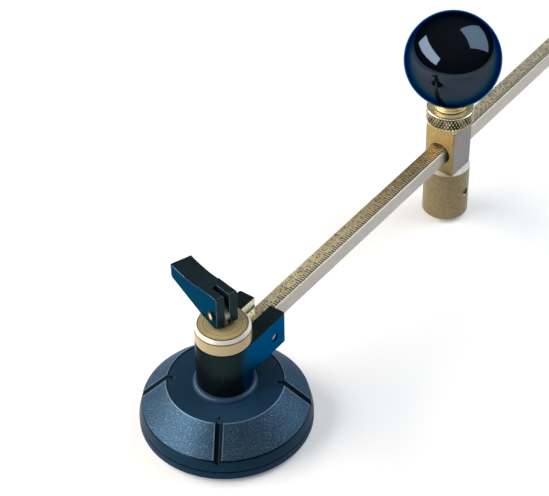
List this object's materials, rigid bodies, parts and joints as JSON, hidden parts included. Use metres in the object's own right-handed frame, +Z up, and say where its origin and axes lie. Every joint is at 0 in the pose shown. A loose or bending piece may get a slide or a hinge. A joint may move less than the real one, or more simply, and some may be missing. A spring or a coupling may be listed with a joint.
{
  "type": "glass circle cutter",
  "caption": "Glass circle cutter: a suction foot with a locking lever, a square brass measuring bar that swivels and lifts, and a sliding cutter head with a ball knob.",
  "frame": {"origin": "centre of the suction foot's sealing ring, on the glass and on the axis that the bar swivels about", "axes": "+X runs along the bar from the foot to the cutter head, +Z is up from the glass, +Y completes a right-handed frame"},
  "size_m": [0.3395, 0.055, 0.0815],
  "materials": {
    "pad_rubber": "matt blue-black rubber",
    "cover_plastic": "dark blue-black moulding with a fine grain on its raised panels",
    "sleeve_paint": "gloss blue-black paint, bare inside the fork",
    "lever_paint": "gloss blue-black paint",
    "cap_brass": "turned and polished",
    "bar_brass": "drawn and brushed lengthwise",
    "head_brass": "satin, turned and milled",
    "pin_brass": "plain",
    "bronze": "plain bearing bronze",
    "steel": "bright",
    "dark_steel": "blackened",
    "wheel_steel": "ground",
    "knob_plastic": "polished black"
  },
  "bodies": {
    "foot": {"suction_pad": "pad_rubber", "foot_cover": "cover_plastic", "spindle": "steel", "lower_washer": "bronze", "upper_washer": "bronze", "top_cap": "cap_brass"},
    "rod": {"pull_rod": "steel", "pad_insert": "steel", "lever_pin": "pin_brass"},
    "lever": {"lever": "lever_paint"},
    "sleeve": {"swivel_sleeve": "sleeve_paint", "bearing_bush": "bronze", "bar_pivot_pin": "steel"},
    "bar": {"measuring_bar": "bar_brass"},
    "head": {"head_body": "head_brass", "wheel_holder": "steel", "holder_set_screw": "dark_steel", "wheel_axle": "steel"},
    "wheel": {"cutting_wheel": "wheel_steel"},
    "plug": {"clamp_plug": "pin_brass"},
    "clamp": {"clamp_screw": "head_brass", "knob_stud": "steel", "knob_bush": "pin_brass", "ball_knob": "knob_plastic"}
  },
  "joints": [
    {"name": "sleeve_swivel", "type": "hinge", "parent": "foot", "child": "sleeve", "pos_m": [0, 0, 0.0265], "axis": [0, 0, 1], "continuous": true},
    {"name": "bar_lift", "type": "hinge", "parent": "sleeve", "child": "bar", "pos_m": [0.01441, 0, 0.0287], "axis": [0, -1, 0], "range_deg": [-2, 30]},
    {"name": "head_slide", "type": "slide", "parent": "bar", "child": "head", "axis": [1, 0, 0], "range_m": [-0.0765, 0.1735]},
    {"name": "wheel_spin", "type": "hinge", "parent": "head", "child": "wheel", "pos_m": [0.1265, 0, 0.0028], "axis": [1, 0, 0], "continuous": true},
    {"name": "clamp_lift", "type": "slide", "parent": "head", "child": "plug", "axis": [0, 0, 1], "range_m": [0, 0.0015]},
    {"name": "clamp_turn", "type": "hinge", "parent": "plug", "child": "clamp", "pos_m": [0.1265, 0, 0.043], "axis": [0, 0, 1], "range_deg": [0, 540.1]},
    {"name": "rod_slide", "type": "slide", "parent": "foot", "child": "rod", "axis": [0, 0, 1], "range_m": [-0.000628, 0], "deforming": ["suction_pad"]},
    {"name": "lever_turn", "type": "hinge", "parent": "rod", "child": "lever", "pos_m": [0, 0, 0.0458], "axis": [0.9336, -0.3584, 0], "range_deg": [0, 90]}
  ],
  "couplings": [
    {"joint": "clamp_turn", "follows": "clamp_lift", "rad_per_m": 6283.2},
    {"joint": "lever_turn", "follows": "rod_slide", "rad_per_m": -2500}
  ]
}
